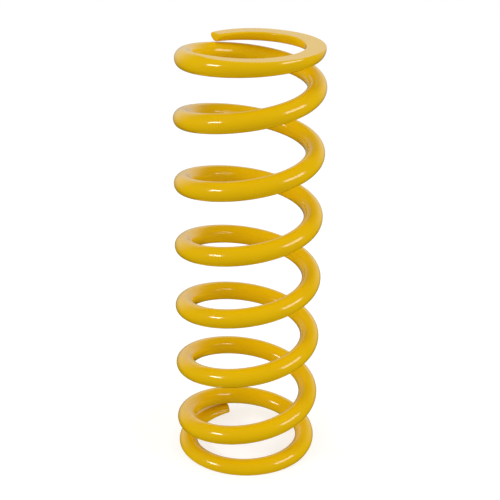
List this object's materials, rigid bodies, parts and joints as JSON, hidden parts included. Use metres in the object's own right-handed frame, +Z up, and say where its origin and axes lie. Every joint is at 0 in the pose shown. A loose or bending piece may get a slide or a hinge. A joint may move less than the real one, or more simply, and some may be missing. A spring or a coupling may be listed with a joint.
{
  "type": "coil spring",
  "caption": "Right-hand helical compression spring of round wire for a coil-over damper, with closed and ground ends and a glossy yellow powder coat.",
  "frame": {"origin": "centre of the lower ground seat, on the spring's axis", "axes": "+Z up the spring's axis to the upper ground seat; -Y faces the front, and +X is to the right seen from there"},
  "size_m": [0.0854, 0.0854, 0.25],
  "materials": {
    "powder_coat": "gloss yellow powder coat on spring steel"
  },
  "bodies": {
    "lower_end_coil": {"lower_end_quarter_1": "powder_coat", "lower_end_quarter_2": "powder_coat", "lower_end_quarter_3": "powder_coat", "lower_end_quarter_4": "powder_coat"},
    "active_turn_1_quarter_1": {"active_turn_1_quarter_1": "powder_coat"},
    "active_turn_1_quarter_2": {"active_turn_1_quarter_2": "powder_coat"},
    "active_turn_1_quarter_3": {"active_turn_1_quarter_3": "powder_coat"},
    "active_turn_1_quarter_4": {"active_turn_1_quarter_4": "powder_coat"},
    "active_turn_2_quarter_1": {"active_turn_2_quarter_1": "powder_coat"},
    "active_turn_2_quarter_2": {"active_turn_2_quarter_2": "powder_coat"},
    "active_turn_2_quarter_3": {"active_turn_2_quarter_3": "powder_coat"},
    "active_turn_2_quarter_4": {"active_turn_2_quarter_4": "powder_coat"},
    "active_turn_3_quarter_1": {"active_turn_3_quarter_1": "powder_coat"},
    "active_turn_3_quarter_2": {"active_turn_3_quarter_2": "powder_coat"},
    "active_turn_3_quarter_3": {"active_turn_3_quarter_3": "powder_coat"},
    "active_turn_3_quarter_4": {"active_turn_3_quarter_4": "powder_coat"},
    "active_turn_4_quarter_1": {"active_turn_4_quarter_1": "powder_coat"},
    "active_turn_4_quarter_2": {"active_turn_4_quarter_2": "powder_coat"},
    "active_turn_4_quarter_3": {"active_turn_4_quarter_3": "powder_coat"},
    "active_turn_4_quarter_4": {"active_turn_4_quarter_4": "powder_coat"},
    "active_turn_5_quarter_1": {"active_turn_5_quarter_1": "powder_coat"},
    "active_turn_5_quarter_2": {"active_turn_5_quarter_2": "powder_coat"},
    "active_turn_5_quarter_3": {"active_turn_5_quarter_3": "powder_coat"},
    "active_turn_5_quarter_4": {"active_turn_5_quarter_4": "powder_coat"},
    "active_turn_6_quarter_1": {"active_turn_6_quarter_1": "powder_coat"},
    "active_turn_6_quarter_2": {"active_turn_6_quarter_2": "powder_coat"},
    "active_turn_6_quarter_3": {"active_turn_6_quarter_3": "powder_coat"},
    "upper_end_coil": {"upper_end_quarter_1": "powder_coat", "upper_end_quarter_2": "powder_coat", "upper_end_quarter_3": "powder_coat", "upper_end_quarter_4": "powder_coat"}
  },
  "joints": [
    {"name": "compression", "type": "slide", "parent": "lower_end_coil", "child": "upper_end_coil", "axis": [0, 0, -1], "range_m": [0, 0.136], "stiffness_N_per_m": 56000},
    {"name": "active_turn_1_quarter_1_slide", "type": "slide", "parent": "lower_end_coil", "child": "active_turn_1_quarter_1", "axis": [0, 0, -1], "range_m": [0, 0.003]},
    {"name": "active_turn_1_quarter_2_slide", "type": "slide", "parent": "lower_end_coil", "child": "active_turn_1_quarter_2", "axis": [0, 0, -1], "range_m": [0, 0.0089]},
    {"name": "active_turn_1_quarter_3_slide", "type": "slide", "parent": "lower_end_coil", "child": "active_turn_1_quarter_3", "axis": [0, 0, -1], "range_m": [0, 0.0148]},
    {"name": "active_turn_1_quarter_4_slide", "type": "slide", "parent": "lower_end_coil", "child": "active_turn_1_quarter_4", "axis": [0, 0, -1], "range_m": [0, 0.0207]},
    {"name": "active_turn_2_quarter_1_slide", "type": "slide", "parent": "lower_end_coil", "child": "active_turn_2_quarter_1", "axis": [0, 0, -1], "range_m": [0, 0.0267]},
    {"name": "active_turn_2_quarter_2_slide", "type": "slide", "parent": "lower_end_coil", "child": "active_turn_2_quarter_2", "axis": [0, 0, -1], "range_m": [0, 0.0326]},
    {"name": "active_turn_2_quarter_3_slide", "type": "slide", "parent": "lower_end_coil", "child": "active_turn_2_quarter_3", "axis": [0, 0, -1], "range_m": [0, 0.0385]},
    {"name": "active_turn_2_quarter_4_slide", "type": "slide", "parent": "lower_end_coil", "child": "active_turn_2_quarter_4", "axis": [0, 0, -1], "range_m": [0, 0.0444]},
    {"name": "active_turn_3_quarter_1_slide", "type": "slide", "parent": "lower_end_coil", "child": "active_turn_3_quarter_1", "axis": [0, 0, -1], "range_m": [0, 0.0503]},
    {"name": "active_turn_3_quarter_2_slide", "type": "slide", "parent": "lower_end_coil", "child": "active_turn_3_quarter_2", "axis": [0, 0, -1], "range_m": [0, 0.0562]},
    {"name": "active_turn_3_quarter_3_slide", "type": "slide", "parent": "lower_end_coil", "child": "active_turn_3_quarter_3", "axis": [0, 0, -1], "range_m": [0, 0.0621]},
    {"name": "active_turn_3_quarter_4_slide", "type": "slide", "parent": "lower_end_coil", "child": "active_turn_3_quarter_4", "axis": [0, 0, -1], "range_m": [0, 0.068]},
    {"name": "active_turn_4_quarter_1_slide", "type": "slide", "parent": "lower_end_coil", "child": "active_turn_4_quarter_1", "axis": [0, 0, -1], "range_m": [0, 0.074]},
    {"name": "active_turn_4_quarter_2_slide", "type": "slide", "parent": "lower_end_coil", "child": "active_turn_4_quarter_2", "axis": [0, 0, -1], "range_m": [0, 0.0799]},
    {"name": "active_turn_4_quarter_3_slide", "type": "slide", "parent": "lower_end_coil", "child": "active_turn_4_quarter_3", "axis": [0, 0, -1], "range_m": [0, 0.0858]},
    {"name": "active_turn_4_quarter_4_slide", "type": "slide", "parent": "lower_end_coil", "child": "active_turn_4_quarter_4", "axis": [0, 0, -1], "range_m": [0, 0.0917]},
    {"name": "active_turn_5_quarter_1_slide", "type": "slide", "parent": "lower_end_coil", "child": "active_turn_5_quarter_1", "axis": [0, 0, -1], "range_m": [0, 0.0976]},
    {"name": "active_turn_5_quarter_2_slide", "type": "slide", "parent": "lower_end_coil", "child": "active_turn_5_quarter_2", "axis": [0, 0, -1], "range_m": [0, 0.1035]},
    {"name": "active_turn_5_quarter_3_slide", "type": "slide", "parent": "lower_end_coil", "child": "active_turn_5_quarter_3", "axis": [0, 0, -1], "range_m": [0, 0.1094]},
    {"name": "active_turn_5_quarter_4_slide", "type": "slide", "parent": "lower_end_coil", "child": "active_turn_5_quarter_4", "axis": [0, 0, -1], "range_m": [0, 0.1154]},
    {"name": "active_turn_6_quarter_1_slide", "type": "slide", "parent": "lower_end_coil", "child": "active_turn_6_quarter_1", "axis": [0, 0, -1], "range_m": [0, 0.1213]},
    {"name": "active_turn_6_quarter_2_slide", "type": "slide", "parent": "lower_end_coil", "child": "active_turn_6_quarter_2", "axis": [0, 0, -1], "range_m": [0, 0.1272]},
    {"name": "active_turn_6_quarter_3_slide", "type": "slide", "parent": "lower_end_coil", "child": "active_turn_6_quarter_3", "axis": [0, 0, -1], "range_m": [0, 0.1331]}
  ],
  "couplings": [
    {"joint": "active_turn_1_quarter_1_slide", "follows": "compression", "ratio": 0.0217},
    {"joint": "active_turn_1_quarter_2_slide", "follows": "compression", "ratio": 0.0652},
    {"joint": "active_turn_1_quarter_3_slide", "follows": "compression", "ratio": 0.1087},
    {"joint": "active_turn_1_quarter_4_slide", "follows": "compression", "ratio": 0.1522},
    {"joint": "active_turn_2_quarter_1_slide", "follows": "compression", "ratio": 0.1957},
    {"joint": "active_turn_2_quarter_2_slide", "follows": "compression", "ratio": 0.2391},
    {"joint": "active_turn_2_quarter_3_slide", "follows": "compression", "ratio": 0.2826},
    {"joint": "active_turn_2_quarter_4_slide", "follows": "compression", "ratio": 0.3261},
    {"joint": "active_turn_3_quarter_1_slide", "follows": "compression", "ratio": 0.3696},
    {"joint": "active_turn_3_quarter_2_slide", "follows": "compression", "ratio": 0.413},
    {"joint": "active_turn_3_quarter_3_slide", "follows": "compression", "ratio": 0.4565},
    {"joint": "active_turn_3_quarter_4_slide", "follows": "compression", "ratio": 0.5},
    {"joint": "active_turn_4_quarter_1_slide", "follows": "compression", "ratio": 0.5435},
    {"joint": "active_turn_4_quarter_2_slide", "follows": "compression", "ratio": 0.587},
    {"joint": "active_turn_4_quarter_3_slide", "follows": "compression", "ratio": 0.6304},
    {"joint": "active_turn_4_quarter_4_slide", "follows": "compression", "ratio": 0.6739},
    {"joint": "active_turn_5_quarter_1_slide", "follows": "compression", "ratio": 0.7174},
    {"joint": "active_turn_5_quarter_2_slide", "follows": "compression", "ratio": 0.7609},
    {"joint": "active_turn_5_quarter_3_slide", "follows": "compression", "ratio": 0.8043},
    {"joint": "active_turn_5_quarter_4_slide", "follows": "compression", "ratio": 0.8478},
    {"joint": "active_turn_6_quarter_1_slide", "follows": "compression", "ratio": 0.8913},
    {"joint": "active_turn_6_quarter_2_slide", "follows": "compression", "ratio": 0.9348},
    {"joint": "active_turn_6_quarter_3_slide", "follows": "compression", "ratio": 0.9783}
  ]
}
